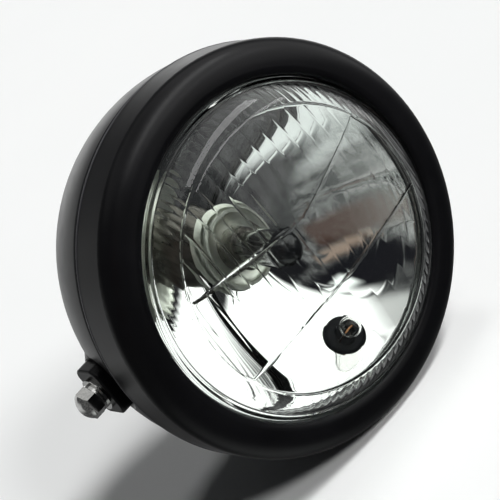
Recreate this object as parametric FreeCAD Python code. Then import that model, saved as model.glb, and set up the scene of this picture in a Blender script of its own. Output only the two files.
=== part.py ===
import FreeCAD, Part
import math
import os

# Round motorcycle headlight on two side bolts, one solid file for each piece.
# Millimetres. The origin is where the line through the side bolts crosses the lamp's axis.
# The lamp looks along -Y, +Z is up, and +X is on the right of someone who faces the lens.

# Rim: a drawn sheet ring with a broad round shoulder
APERTURE_RADIUS = 76.2
RIM_WIDTH = 16.8  # aperture edge to the outside
RIM_SHEET = 1.0
RIM_CREST_OFFSET = 3.6  # frontmost line, outside the aperture edge
RIM_CREST_RISE = 1.8  # frontmost line, in front of the aperture edge
RIM_SHOULDER_DEPTH = 9.5
RIM_SKIRT_LENGTH = 18.6
APERTURE_LIP = 3.0  # turned-in edge that the glass rests against

# Bucket: a drawn bowl that ends in a flat with the harness hole
BUCKET_SHEET = 1.0
BUCKET_CLEARANCE = 0.4  # radial gap inside the rim's skirt
BUCKET_OVERLAP = 10.3  # length of the mouth inside the skirt
REAR_FLAT_RADIUS = 26.0
REAR_ROUND = 14.0

# Side mounts
MOUNT_BEHIND_SEAM = 22.4  # bolts behind the rim's rear edge
SEAT_RADIUS = 14.5  # pressed flat under the pad
SEAT_RECESS = 1.4  # flat below the bowl's own surface at the bolt
SEAT_FLARE = 10.0  # sloped run-out round the pressed flat
PAD_HEIGHT = 25.5
PAD_DEPTH = 19.0
PAD_THICKNESS = 7.0
PAD_CORNER = 5.0
PAD_EDGE_ROUND = 1.2
BOLT_RADIUS = 4.0
BOLT_HOLE_CLEARANCE = 0.4
BOLT_HEAD_FLATS = 13.0
BOLT_HEAD_HEIGHT = 5.6
BOLT_DOME_HEIGHT = 3.0
BOLT_HEAD_TURN = 9.5  # degrees
BOLT_TIP = 2.5  # shank past the weld nut
FLAT_WASHER_RADIUS = 8.6
FLAT_WASHER_THICKNESS = 1.6
SPRING_WASHER_RADIUS = 6.9
SPRING_WASHER_THICKNESS = 2.1
SPRING_WASHER_SPLIT = 1.4
WELD_NUT_FLATS = 13.0
WELD_NUT_HEIGHT = 6.5
THREAD_GAP = 0.05

# Lens: domed glass with a flat flange and upright flutes on its inner face
LENS_GAP = 0.8  # glass wall inside the aperture
LENS_LAP = 5.3  # flange past the aperture edge
LENS_FLANGE = 4.0
LENS_GLASS = 3.8
LENS_WALL = 2.3  # straight wall in front of the flange
LENS_EDGE_ROUND = 24.0  # border that bends back from the dome to the wall
LENS_EDGE_SLOPE = 71.0  # degrees, border against the dome's middle, where it meets the wall
LENS_DOME_RADIUS = 290.0
FLUTE_PITCH = 7.4
FLUTE_LAND = 0.5  # plain glass between two flutes
FLUTE_HEIGHT = 0.8
FLUTE_ZONE_GAP = 3.0  # flutes end inside the ring
FLUTE_ROOT = 0.5  # flute stock inside the glass
RIDGE_INSET = 13.2  # ring between the middle and the border, inside the aperture edge
RIDGE_WIDTH = 1.6
RIDGE_HEIGHT = 0.7

# Reflector: a parabola of revolution, its flange and its neck
SEAL_THICKNESS = 0.8
SEAL_MARGIN = 1.2  # sealant kept inside the flange's edge
REFLECTOR_SHEET = 0.8
REFLECTOR_EDGE_GAP = 0.5  # turned-up edge outside the glass
REFLECTOR_EDGE_HEIGHT = 3.6
FOCAL_LENGTH = 30.0
BULB_HOLE_RADIUS = 19.5
NECK_LENGTH = 4.0
NECK_FLANGE = 7.5  # neck flange past the hole
HOOK_WIDTH = 4.0
HOOK_SHEET = 0.8

# Fastening of the light unit and of the rim
CLIP_SHEET = 1.0
CLIP_COUNT = 4
CLIP_SPAN = 9.0  # degrees
CLIP_REACH = 4.0  # clip over the reflector's flange, inside the glass edge
WELD_GAP = 0.1
EDGE_GAP = 0.6  # clip and hook in front of the bucket's mouth
HOOK_SPAN = 12.0  # degrees
HOOK_STRIP = 1.2
HOOK_LENGTH = 8.0
HOOK_CLEARANCE = 0.3
RIM_SCREW_RADIUS = 2.5
RIM_SCREW_CLEARANCE = 0.3
RIM_SCREW_HEAD_RADIUS = 4.5
RIM_SCREW_HEAD_HEIGHT = 2.6
RIM_SCREW_SLOT = 1.0
RIM_NUT_SIZE = 9.0
RIM_NUT_THICKNESS = 4.0
RIM_NUT_SEAT = 0.15
RIM_SCREW_TIP = 1.5

# Main bulb with two filaments on a three-tab flange
BULB_LAP = 1.7  # flange past the hole
BULB_FLANGE_THICKNESS = 1.2
BULB_RING_GAP = 1.0  # ring inside the reflector's hole
BULB_RING_RISE = 3.2  # ring's front edge ahead of the hole
BULB_RING_SHEET = 0.8
BULB_RING_EDGE = 1.4  # flat front edge of the ring
BULB_DISH_DEPTH = 3.0  # from the ring's edge back to the sleeve
BULB_TAB_WIDTH = 7.0
BULB_TAB_REACH = 1.6
BULB_GLASS_RADIUS = 8.6
BULB_GLASS_WALL = 1.0
BULB_REACH = 51.0  # flange to tip
BULB_SLEEVE_LENGTH = 14.0
BULB_SLEEVE_WALL = 1.5
BULB_FLOOR = 3.0  # sleeve floor in front of the flange
BULB_CAN_RADIUS = 13.2
BULB_CAN_LENGTH = 12.0
BULB_GAP = 0.1
INSULATOR_RADIUS = 11.5
INSULATOR_LENGTH = 3.5
TERMINAL_WIDTH = 7.8
TERMINAL_THICKNESS = 0.8
TERMINAL_LENGTH = 12.0
TERMINAL_OFFSET = 6.5
FILAMENT_RADIUS = 0.75
FILAMENT_LENGTH = 5.0
HIGH_BEAM_FRONT = 24.0  # front end of the coil, ahead of the flange
LOW_BEAM_FRONT = 32.0
POST_RADIUS = 0.45
POST_CIRCLE = 4.3
LEG_RADIUS = 0.3
SHIELD_RADIUS = 5.4
SHIELD_SHEET = 0.4
SHIELD_SPAN = 165.0  # degrees
SHIELD_MARGIN = 1.6  # shield past each end of the low beam coil
CLIP_WIRE_RADIUS = 0.8
CLIP_LEG_GAP = 1.0  # wire beside the bulb's can
CLIP_ARCH_RISE = 7.0
CLIP_LEG_TIP = 0.8  # wire past its hooks
BOOT_WALL = 2.4
BOOT_GRIP = 4.0
BOOT_SKIRT = 3.2  # lip in front of the neck flange
BOOT_ROOM = 4.8  # straight room over the clip
BOOT_SLOPE = 4.0
BOOT_FIT = 0.2

# Parking lamp low in the reflector
PARKING_INSET = 18.2  # middle of the lamp, inside the aperture edge
PARKING_TURN = 4.0  # degrees from straight down
PARKING_TILT = 30.0  # degrees up from the lamp's axis
PARKING_BORE = 9.6
PARKING_COLLAR_LENGTH = 8.0
PARKING_FIT = 0.2
PARKING_FACE = 2.2  # rubber face in front of the mirror
PARKING_FLANGE = 3.0
PARKING_FLANGE_THICKNESS = 3.0
PARKING_BULB_RADIUS = 5.0
PARKING_BULB_WALL = 0.7
PARKING_BULB_REACH = 16.0
PARKING_BULB_SEAT = 6.0
PARKING_COIL_RADIUS = 0.5
PARKING_COIL_LENGTH = 4.4
PARKING_POST_RADIUS = 0.35
PARKING_POST_HEIGHT = 13.0
PARKING_TERMINAL_WIDTH = 5.0
PARKING_TERMINAL_THICKNESS = 0.6
PARKING_TERMINAL_LENGTH = 7.0
PARKING_TERMINAL_OFFSET = 3.5

# Harness grommet in the bucket's back
HARNESS_BORE_RADIUS = 11.0
GROMMET_WALL = 2.8
GROMMET_LIP = 4.0
GROMMET_FLANGE = 2.6
GROMMET_FIT = 0.2

# Places that follow from the sizes above
rim_radius = APERTURE_RADIUS + RIM_WIDTH
skirt_inner = rim_radius - RIM_SHEET
crest_radius = APERTURE_RADIUS + RIM_CREST_OFFSET
seam_y = -MOUNT_BEHIND_SEAM
shoulder_y = seam_y - RIM_SKIRT_LENGTH
crest_y = shoulder_y - RIM_SHOULDER_DEPTH
aperture_y = crest_y + RIM_CREST_RISE
lip_end_y = aperture_y + APERTURE_LIP

bucket_radius = skirt_inner - BUCKET_CLEARANCE
bucket_inner = bucket_radius - BUCKET_SHEET
mouth_y = seam_y - BUCKET_OVERLAP
rear_rise = math.sqrt((bucket_radius - REAR_ROUND) ** 2 - REAR_FLAT_RADIUS**2)
rear_y = seam_y + rear_rise + REAR_ROUND
harness_hole = HARNESS_BORE_RADIUS + GROMMET_WALL + GROMMET_FIT
screw_y = seam_y - BUCKET_OVERLAP / 2

seat_x = math.sqrt(bucket_radius**2 - MOUNT_BEHIND_SEAM**2) - SEAT_RECESS
pad_face_x = seat_x + PAD_THICKNESS
spring_seat_x = pad_face_x + FLAT_WASHER_THICKNESS
head_seat_x = spring_seat_x + SPRING_WASHER_THICKNESS
nut_seat_x = seat_x - BUCKET_SHEET
bolt_hole = BOLT_RADIUS + BOLT_HOLE_CLEARANCE

lens_wall_radius = APERTURE_RADIUS - LENS_GAP
lens_inner_radius = lens_wall_radius - LENS_GLASS
lens_flange_radius = APERTURE_RADIUS + LENS_LAP
lens_back_y = lip_end_y + LENS_FLANGE
edge_slope = math.radians(LENS_EDGE_SLOPE)
wall_y = lip_end_y - LENS_WALL
round_radius = lens_wall_radius - LENS_EDGE_ROUND * math.sin(edge_slope)
round_y = wall_y + LENS_EDGE_ROUND * math.cos(edge_slope)
inner_round = LENS_EDGE_ROUND - LENS_GLASS
inner_wall_y = round_y - math.sqrt(inner_round**2 - (lens_inner_radius - round_radius) ** 2)
dome_y = round_y + math.sqrt((LENS_DOME_RADIUS - LENS_EDGE_ROUND) ** 2 - round_radius**2)
inner_dome = LENS_DOME_RADIUS - LENS_GLASS
ridge_radius = APERTURE_RADIUS - RIDGE_INSET
flute_zone_radius = ridge_radius - FLUTE_ZONE_GAP

flange_y = lens_back_y + SEAL_THICKNESS
flange_back_y = flange_y + REFLECTOR_SHEET
edge_inner = lens_flange_radius + REFLECTOR_EDGE_GAP
edge_outer = edge_inner + REFLECTOR_SHEET
vertex_y = flange_y + lens_inner_radius**2 / (4 * FOCAL_LENGTH)
hole_y = vertex_y - BULB_HOLE_RADIUS**2 / (4 * FOCAL_LENGTH)
bulb_y = hole_y + NECK_LENGTH
neck_radius = BULB_HOLE_RADIUS + NECK_FLANGE

bulb_back_y = bulb_y + BULB_FLANGE_THICKNESS
sleeve_radius = BULB_GLASS_RADIUS + BULB_SLEEVE_WALL
floor_y = bulb_y - BULB_FLOOR
can_end_y = bulb_back_y + BULB_CAN_LENGTH
insulator_y = can_end_y + INSULATOR_LENGTH
clip_y = bulb_back_y + CLIP_WIRE_RADIUS
clip_leg_x = BULB_CAN_RADIUS + CLIP_LEG_GAP + CLIP_WIRE_RADIUS
hook_y = bulb_back_y + 2 * CLIP_WIRE_RADIUS + BULB_GAP
bulb_flange_radius = BULB_HOLE_RADIUS + BULB_LAP
bulb_ring_radius = BULB_HOLE_RADIUS - BULB_RING_GAP
bulb_ring_y = hole_y - BULB_RING_RISE
hook_foot = clip_leg_x + CLIP_WIRE_RADIUS + BULB_GAP
hook_drop = math.sqrt(max(bulb_flange_radius**2 - hook_foot**2, 0)) + HOOK_WIDTH / 2 + HOOK_SHEET
clip_leg_drop = hook_drop + HOOK_WIDTH / 2 + CLIP_LEG_TIP

parking_radius = APERTURE_RADIUS - PARKING_INSET
parking_y = vertex_y - parking_radius**2 / (4 * FOCAL_LENGTH)

ORIGIN = FreeCAD.Vector(0, 0, 0)
ALONG_X = FreeCAD.Vector(1, 0, 0)
ALONG_Y = FreeCAD.Vector(0, 1, 0)
ALONG_Z = FreeCAD.Vector(0, 0, 1)


def at(radius, y):
    return FreeCAD.Vector(radius, y, 0)


def line(start, end):
    return Part.makeLine(start, end)


def arc(centre, start, end):
    first = start - centre
    middle = first + (end - centre)
    middle.normalize()
    return Part.Arc(start, centre + middle * first.Length, end).toShape()


def quarter(start, corner, end):
    """A quarter of an ellipse that leaves start and reaches end along the sides of the corner."""
    pull = 0.5523
    curve = Part.BezierCurve()
    curve.setPoles([start, start + (corner - start) * pull, end + (corner - end) * pull, end])
    return curve.toShape()


def parabola(outer, inner, shift):
    """The mirror's section between two radii, moved back by shift."""
    def point(radius):
        return at(radius, vertex_y + shift - radius**2 / (4 * FOCAL_LENGTH))

    start = point(outer)
    end = point(inner)
    middle = (outer + inner) / 2
    slope = -outer / (2 * FOCAL_LENGTH)
    curve = Part.BezierCurve()
    curve.setPoles([start, at(middle, start.y + slope * (middle - outer)), end])
    return curve.toShape()


def polygon(points):
    return Part.makePolygon(list(points) + [points[0]])


def spin(outline, angle=360.0):
    """Turn a flat outline about the lamp's axis, centred on +X when it is a part of a turn."""
    wire = outline if isinstance(outline, Part.Wire) else Part.Wire(outline)
    solid = Part.Face(wire).revolve(ORIGIN, ALONG_Y, angle)
    if angle < 360:
        solid.rotate(ORIGIN, ALONG_Y, -angle / 2)
    return solid


def turned(solid, angle):
    """Turn a copy about the lamp's axis so that +X moves to this angle, counted towards +Z."""
    copy = solid.copy()
    copy.rotate(ORIGIN, ALONG_Y, -angle)
    return copy


def rod(radius, start, end):
    return Part.makeCylinder(radius, (end - start).Length, start, end - start)


def ring(inner, outer, start, end):
    """A plain ring about the lamp's axis between two y values."""
    return spin(polygon([at(inner, start), at(outer, start), at(outer, end), at(inner, end)]))


def box(low, high):
    size = high - low
    return Part.makeBox(size.x, size.y, size.z, low)


def hexagon(flats, start_x, length, turn=0.0):
    """A six-sided bar along +X."""
    corner = flats / math.sqrt(3)
    points = []
    for step in range(6):
        angle = math.radians(60 * step + turn)
        points.append(FreeCAD.Vector(start_x, corner * math.cos(angle), corner * math.sin(angle)))
    return Part.Face(polygon(points)).extrude(ALONG_X * length)


def about_x(points):
    """Turn an outline of (x, radius) points about the bolt line."""
    return Part.Face(polygon([FreeCAD.Vector(x, r, 0) for x, r in points])).revolve(ORIGIN, ALONG_X, 360)


def on_side(solid, side):
    """A piece drawn on the right goes to the left by half a turn about the lamp's axis."""
    return solid if side > 0 else turned(solid, 180)


def screw_drill():
    """The hole for the rim's screw, through the rim and the bucket."""
    middle = FreeCAD.Vector(0, screw_y, -rim_radius)
    reach = ALONG_Z * rim_radius * 0.1
    return rod(RIM_SCREW_RADIUS + RIM_SCREW_CLEARANCE, middle + reach, middle - reach)


def make_rim():
    outline = [
        line(at(APERTURE_RADIUS, lip_end_y), at(APERTURE_RADIUS, aperture_y)),
        quarter(at(APERTURE_RADIUS, aperture_y), at(APERTURE_RADIUS, crest_y), at(crest_radius, crest_y)),
        quarter(at(crest_radius, crest_y), at(rim_radius, crest_y), at(rim_radius, shoulder_y)),
        line(at(rim_radius, shoulder_y), at(rim_radius, seam_y)),
        line(at(rim_radius, seam_y), at(skirt_inner, seam_y)),
        line(at(skirt_inner, seam_y), at(skirt_inner, shoulder_y)),
    ]
    inside_y = crest_y + RIM_SHEET
    lip_back = APERTURE_RADIUS + RIM_SHEET
    outline += [
        quarter(at(skirt_inner, shoulder_y), at(skirt_inner, inside_y), at(crest_radius, inside_y)),
        quarter(at(crest_radius, inside_y), at(lip_back, inside_y), at(lip_back, aperture_y)),
        line(at(lip_back, aperture_y), at(lip_back, lip_end_y)),
        line(at(lip_back, lip_end_y), at(APERTURE_RADIUS, lip_end_y)),
    ]
    return spin(outline).cut(screw_drill())


def bowl(sheet):
    """The bucket's outer bowl, filled in, or its hollow when a sheet thickness is given."""
    radius = bucket_radius - sheet
    reach = radius / (bucket_radius - REAR_ROUND)
    tangent = at(REAR_FLAT_RADIUS * reach, seam_y + rear_rise * reach)
    corner = at(REAR_FLAT_RADIUS, seam_y + rear_rise)
    flat_y = rear_y - sheet
    outline = [
        line(at(0, mouth_y), at(radius, mouth_y)),
        line(at(radius, mouth_y), at(radius, seam_y)),
        arc(at(0, seam_y), at(radius, seam_y), tangent),
        arc(corner, tangent, at(REAR_FLAT_RADIUS, flat_y)),
        line(at(REAR_FLAT_RADIUS, flat_y), at(0, flat_y)),
        line(at(0, flat_y), at(0, mouth_y)),
    ]
    solid = spin(outline)
    seat = seat_x - sheet
    wide = SEAT_RADIUS + SEAT_FLARE
    pocket = about_x([(seat, 0), (seat, SEAT_RADIUS), (seat + SEAT_FLARE, wide), (seat + SEAT_FLARE, 0)])
    boss = about_x([(seat, 0), (seat, SEAT_RADIUS), (seat - SEAT_FLARE, wide), (seat - SEAT_FLARE, 0)])
    for side in (1, -1):
        solid = solid.cut(on_side(pocket, side)).fuse(on_side(boss, side))
    return solid.removeSplitter()


def make_bucket():
    shell = bowl(0).cut(bowl(BUCKET_SHEET))
    harness = Part.makeCylinder(harness_hole, 4 * BUCKET_SHEET, at(0, rear_y - 2 * BUCKET_SHEET), ALONG_Y)
    bolts = rod(bolt_hole, FreeCAD.Vector(-rim_radius, 0, 0), FreeCAD.Vector(rim_radius, 0, 0))
    return shell.cut([harness, bolts, screw_drill()])


def flute(x):
    """One upright flute: a round-backed rib bent along the inner face of the dome."""
    width = FLUTE_PITCH - FLUTE_LAND
    round_back = (width**2 / 4 + FLUTE_HEIGHT**2) / (2 * FLUTE_HEIGHT)
    level = dome_y - math.sqrt(inner_dome**2 - x**2)
    centre = FreeCAD.Vector(x, level + FLUTE_HEIGHT - round_back, 0)
    half = math.sqrt(round_back**2 - (round_back - FLUTE_HEIGHT - FLUTE_ROOT) ** 2)
    lean = math.degrees(math.asin(x / inner_dome))
    left = FreeCAD.Vector(x - half, level - FLUTE_ROOT, 0)
    right = FreeCAD.Vector(x + half, level - FLUTE_ROOT, 0)
    section = Part.Wire([arc(centre, left, right), line(right, left)])
    section.rotate(FreeCAD.Vector(x, level, 0), ALONG_Z, lean)
    reach = math.sqrt(flute_zone_radius**2 - x**2)
    angle = math.degrees(math.asin(reach / math.sqrt(inner_dome**2 - x**2)))
    section.rotate(at(0, dome_y), ALONG_X, -angle)
    return Part.Face(section).revolve(at(0, dome_y), ALONG_X, 2 * angle)


def ridge():
    """The low ring that parts the middle of the lens from its border."""
    lean = math.asin((ridge_radius - round_radius) / inner_round)
    level = round_y - inner_round * math.cos(lean)
    left = ridge_radius - RIDGE_WIDTH / 2
    right = ridge_radius + RIDGE_WIDTH / 2
    root = level - FLUTE_ROOT
    top = level + RIDGE_HEIGHT
    section = Part.Wire([
        line(at(right, root), at(left, root)),
        line(at(left, root), at(left, level)),
        quarter(at(left, level), at(left, top), at(ridge_radius, top)),
        quarter(at(ridge_radius, top), at(right, top), at(right, level)),
        line(at(right, level), at(right, root)),
    ])
    section.rotate(at(ridge_radius, level), ALONG_Z, math.degrees(lean))
    return spin(section)


def make_lens():
    outside = LENS_DOME_RADIUS / (LENS_DOME_RADIUS - LENS_EDGE_ROUND)
    inside = inner_dome / (LENS_DOME_RADIUS - LENS_EDGE_ROUND)
    corner = at(round_radius, round_y)
    dome = at(0, dome_y)
    outer_tangent = dome + (corner - dome) * outside
    inner_tangent = dome + (corner - dome) * inside
    outline = [
        arc(dome, at(0, dome_y - LENS_DOME_RADIUS), outer_tangent),
        arc(corner, outer_tangent, at(lens_wall_radius, wall_y)),
        line(at(lens_wall_radius, wall_y), at(lens_wall_radius, lip_end_y)),
        line(at(lens_wall_radius, lip_end_y), at(lens_flange_radius, lip_end_y)),
        line(at(lens_flange_radius, lip_end_y), at(lens_flange_radius, lens_back_y)),
        line(at(lens_flange_radius, lens_back_y), at(lens_inner_radius, lens_back_y)),
        line(at(lens_inner_radius, lens_back_y), at(lens_inner_radius, inner_wall_y)),
        arc(corner, at(lens_inner_radius, inner_wall_y), inner_tangent),
        arc(dome, inner_tangent, at(0, dome_y - inner_dome)),
        line(at(0, dome_y - inner_dome), at(0, dome_y - LENS_DOME_RADIUS)),
    ]
    glass = spin(outline)
    count = int(flute_zone_radius / FLUTE_PITCH - 0.25)
    flutes = [flute(FLUTE_PITCH * step) for step in range(-count, count + 1)]
    return glass.fuse(flutes + [ridge()])


def make_lens_seal():
    return ring(lens_inner_radius + SEAL_MARGIN, lens_flange_radius - SEAL_MARGIN, lens_back_y, flange_y)


def hook(reach, lift):
    """A lanced hook on the neck flange: it rises outside the wire and folds over it."""
    foot = reach + CLIP_WIRE_RADIUS + BULB_GAP
    tip = foot + HOOK_SHEET
    points = [
        FreeCAD.Vector(-HOOK_WIDTH / 2, bulb_y, foot),
        FreeCAD.Vector(-HOOK_WIDTH / 2, bulb_y, tip),
        FreeCAD.Vector(-HOOK_WIDTH / 2, lift + HOOK_SHEET, tip),
        FreeCAD.Vector(-HOOK_WIDTH / 2, lift + HOOK_SHEET, reach - CLIP_WIRE_RADIUS),
        FreeCAD.Vector(-HOOK_WIDTH / 2, lift, reach - CLIP_WIRE_RADIUS),
        FreeCAD.Vector(-HOOK_WIDTH / 2, lift, foot),
    ]
    return Part.Face(polygon(points)).extrude(ALONG_X * HOOK_WIDTH)


def clip_hooks():
    top = hook(arch_top(), hook_y)
    side = hook(clip_leg_x, hook_y)
    right = turned(side, -90)
    right.translate(FreeCAD.Vector(0, 0, -hook_drop))
    left = turned(side, 90)
    left.translate(FreeCAD.Vector(0, 0, -hook_drop))
    return [top, right, left]


def arch_top():
    """Height of the spring clip's arch above the lamp's axis."""
    return CLIP_ARCH_RISE + clip_leg_x


def mirror_hollow():
    """Everything in front of the mirror face, used to trim what comes through it."""
    front = lip_end_y
    outline = [
        line(at(0, front), at(lens_inner_radius, front)),
        line(at(lens_inner_radius, front), at(lens_inner_radius, flange_y)),
        parabola(lens_inner_radius, 0, 0),
        line(at(0, vertex_y), at(0, front)),
    ]
    return spin(outline)


def make_reflector():
    sheet = REFLECTOR_SHEET
    back = 1.25 * sheet
    neck_outer = BULB_HOLE_RADIUS + sheet
    back_radius = math.sqrt(lens_inner_radius**2 - 4 * FOCAL_LENGTH * (sheet - back))
    neck_join_y = vertex_y + back - neck_outer**2 / (4 * FOCAL_LENGTH)
    edge_top = flange_back_y - REFLECTOR_EDGE_HEIGHT
    outline = [
        parabola(lens_inner_radius, BULB_HOLE_RADIUS, 0),
        line(at(BULB_HOLE_RADIUS, hole_y), at(BULB_HOLE_RADIUS, bulb_y)),
        line(at(BULB_HOLE_RADIUS, bulb_y), at(neck_radius, bulb_y)),
        line(at(neck_radius, bulb_y), at(neck_radius, bulb_y - sheet)),
        line(at(neck_radius, bulb_y - sheet), at(neck_outer, bulb_y - sheet)),
        line(at(neck_outer, bulb_y - sheet), at(neck_outer, neck_join_y)),
        parabola(neck_outer, back_radius, back),
        line(at(back_radius, flange_back_y), at(edge_outer, flange_back_y)),
        line(at(edge_outer, flange_back_y), at(edge_outer, edge_top)),
        line(at(edge_outer, edge_top), at(edge_inner, edge_top)),
        line(at(edge_inner, edge_top), at(edge_inner, flange_y)),
        line(at(edge_inner, flange_y), at(lens_inner_radius, flange_y)),
    ]
    shell = spin(outline).fuse(clip_hooks())
    length = PARKING_COLLAR_LENGTH
    collar = rod(PARKING_BORE + sheet, at(0, -length), at(0, length))
    bore = rod(PARKING_BORE, at(0, -2 * length), at(0, 2 * length))
    collar = in_parking_place(collar).cut(mirror_hollow())
    return shell.fuse(collar).cut(in_parking_place(bore))


def make_clip():
    outer = skirt_inner - WELD_GAP
    inner = lens_flange_radius - CLIP_REACH
    back = flange_back_y + CLIP_SHEET
    points = [
        at(inner, flange_back_y),
        at(outer, flange_back_y),
        at(outer, mouth_y - EDGE_GAP),
        at(outer - CLIP_SHEET, mouth_y - EDGE_GAP),
        at(outer - CLIP_SHEET, back),
        at(inner, back),
    ]
    return spin(polygon(points), CLIP_SPAN)


def make_rim_hook():
    outer = skirt_inner - WELD_GAP
    under = bucket_inner - HOOK_CLEARANCE
    step_y = mouth_y - EDGE_GAP
    points = [
        at(outer, shoulder_y),
        at(outer, step_y),
        at(under, step_y),
        at(under, mouth_y + HOOK_LENGTH),
        at(under - HOOK_STRIP, mouth_y + HOOK_LENGTH),
        at(under - HOOK_STRIP, step_y - HOOK_STRIP),
        at(outer - HOOK_STRIP, step_y - HOOK_STRIP),
        at(outer - HOOK_STRIP, shoulder_y),
    ]
    return turned(spin(polygon(points), HOOK_SPAN), 90)


def make_rim_screw():
    seat = FreeCAD.Vector(0, screw_y, -rim_radius)
    tip = bucket_inner - RIM_NUT_SEAT - RIM_NUT_THICKNESS - RIM_SCREW_TIP
    shank = rod(RIM_SCREW_RADIUS, seat, FreeCAD.Vector(0, screw_y, -tip))
    bulge = (RIM_SCREW_HEAD_RADIUS**2 + RIM_SCREW_HEAD_HEIGHT**2) / (2 * RIM_SCREW_HEAD_HEIGHT)
    ball = Part.makeSphere(bulge, seat + ALONG_Z * (bulge - RIM_SCREW_HEAD_HEIGHT))
    head = rod(RIM_SCREW_HEAD_RADIUS, seat, seat - ALONG_Z * RIM_SCREW_HEAD_HEIGHT).common(ball)
    low = seat - FreeCAD.Vector(RIM_SCREW_HEAD_RADIUS, RIM_SCREW_SLOT / 2, 2 * RIM_SCREW_HEAD_HEIGHT)
    high = seat + FreeCAD.Vector(RIM_SCREW_HEAD_RADIUS, RIM_SCREW_SLOT / 2, -RIM_SCREW_HEAD_HEIGHT / 2)
    return head.cut(box(low, high)).fuse(shank)


def make_rim_nut():
    half = RIM_NUT_SIZE / 2
    top = -(bucket_inner - RIM_NUT_SEAT)
    block = box(
        FreeCAD.Vector(-half, screw_y - half, top),
        FreeCAD.Vector(half, screw_y + half, top + RIM_NUT_THICKNESS),
    )
    thread = RIM_SCREW_RADIUS + THREAD_GAP
    hole = rod(thread, FreeCAD.Vector(0, screw_y, top), FreeCAD.Vector(0, screw_y, 0))
    return block.cut(hole)


def make_pad():
    block = box(
        FreeCAD.Vector(seat_x, -PAD_DEPTH / 2, -PAD_HEIGHT / 2),
        FreeCAD.Vector(pad_face_x, PAD_DEPTH / 2, PAD_HEIGHT / 2),
    )
    corners = [e for e in block.Edges if abs(e.tangentAt(e.FirstParameter).x) > 0.9]
    block = block.makeFillet(PAD_CORNER, corners)
    front = [e for e in block.Edges if abs(e.BoundBox.XMin - pad_face_x) < 1e-6]
    block = block.makeFillet(PAD_EDGE_ROUND, front)
    return block.cut(rod(bolt_hole, FreeCAD.Vector(0, 0, 0), FreeCAD.Vector(2 * pad_face_x, 0, 0)))


def make_flat_washer():
    return about_x([
        (pad_face_x, bolt_hole),
        (pad_face_x, FLAT_WASHER_RADIUS),
        (spring_seat_x, FLAT_WASHER_RADIUS),
        (spring_seat_x, bolt_hole),
    ])


def make_spring_washer():
    band = about_x([
        (spring_seat_x, bolt_hole),
        (spring_seat_x, SPRING_WASHER_RADIUS),
        (head_seat_x, SPRING_WASHER_RADIUS),
        (head_seat_x, bolt_hole),
    ])
    middle = FreeCAD.Vector((spring_seat_x + head_seat_x) / 2, 0, SPRING_WASHER_RADIUS)
    reach = SPRING_WASHER_RADIUS - BOLT_RADIUS
    half = FreeCAD.Vector(SPRING_WASHER_THICKNESS * 2, SPRING_WASHER_SPLIT / 2, reach)
    split = box(middle - half, middle + half)
    split.rotate(middle, ALONG_Z, 30)
    return band.cut(split)


def make_bolt():
    top_x = head_seat_x + BOLT_HEAD_HEIGHT
    flat_radius = BOLT_HEAD_FLATS / 2
    corner = BOLT_HEAD_FLATS / math.sqrt(3)
    head = hexagon(BOLT_HEAD_FLATS, head_seat_x, BOLT_HEAD_HEIGHT, BOLT_HEAD_TURN)
    bevel = (corner - flat_radius) * 0.6
    turning = about_x([
        (head_seat_x, 0),
        (head_seat_x, flat_radius + bevel),
        (head_seat_x + bevel / 2, corner),
        (top_x - bevel, corner),
        (top_x, flat_radius),
        (top_x, 0),
    ])
    bulge = (flat_radius**2 + BOLT_DOME_HEIGHT**2) / (2 * BOLT_DOME_HEIGHT)
    ball = Part.makeSphere(bulge, FreeCAD.Vector(top_x + BOLT_DOME_HEIGHT - bulge, 0, 0))
    top = FreeCAD.Vector(top_x, 0, 0)
    above = rod(flat_radius, top, top + ALONG_X * 2 * BOLT_DOME_HEIGHT)
    end_x = nut_seat_x - WELD_NUT_HEIGHT - BOLT_TIP
    shank = rod(BOLT_RADIUS, FreeCAD.Vector(end_x, 0, 0), FreeCAD.Vector(head_seat_x, 0, 0))
    return head.common(turning).fuse([ball.common(above), shank]).removeSplitter()


def make_weld_nut():
    nut = hexagon(WELD_NUT_FLATS, nut_seat_x - WELD_NUT_HEIGHT, WELD_NUT_HEIGHT)
    hole = rod(BOLT_RADIUS + THREAD_GAP, FreeCAD.Vector(0, 0, 0), FreeCAD.Vector(nut_seat_x, 0, 0))
    return nut.cut(hole)


def make_bulb_flange():
    """The three-tab flange and the dished ring that stands forward through the reflector's hole."""
    radius = bulb_flange_radius
    inner = sleeve_radius + BULB_GAP
    wall = bulb_ring_radius - BULB_RING_SHEET
    edge = bulb_ring_radius - BULB_RING_EDGE
    dish = bulb_ring_y + BULB_DISH_DEPTH
    dish_back = dish + BULB_RING_SHEET
    outline = [
        line(at(inner, bulb_back_y), at(radius, bulb_back_y)),
        line(at(radius, bulb_back_y), at(radius, bulb_y)),
        line(at(radius, bulb_y), at(bulb_ring_radius, bulb_y)),
        line(at(bulb_ring_radius, bulb_y), at(bulb_ring_radius, bulb_ring_y)),
        line(at(bulb_ring_radius, bulb_ring_y), at(edge, bulb_ring_y)),
        quarter(at(edge, bulb_ring_y), at(edge, dish), at(inner, dish)),
        line(at(inner, dish), at(inner, dish_back)),
        line(at(inner, dish_back), at(wall, dish_back)),
        line(at(wall, dish_back), at(wall, bulb_y)),
        line(at(wall, bulb_y), at(inner, bulb_y)),
        line(at(inner, bulb_y), at(inner, bulb_back_y)),
    ]
    tab = box(
        FreeCAD.Vector(-BULB_TAB_WIDTH / 2, bulb_y, radius - BULB_TAB_REACH),
        FreeCAD.Vector(BULB_TAB_WIDTH / 2, bulb_back_y, radius + BULB_TAB_REACH),
    )
    return spin(outline).fuse([turned(tab, angle) for angle in (0, 120, 240)]).removeSplitter()


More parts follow.
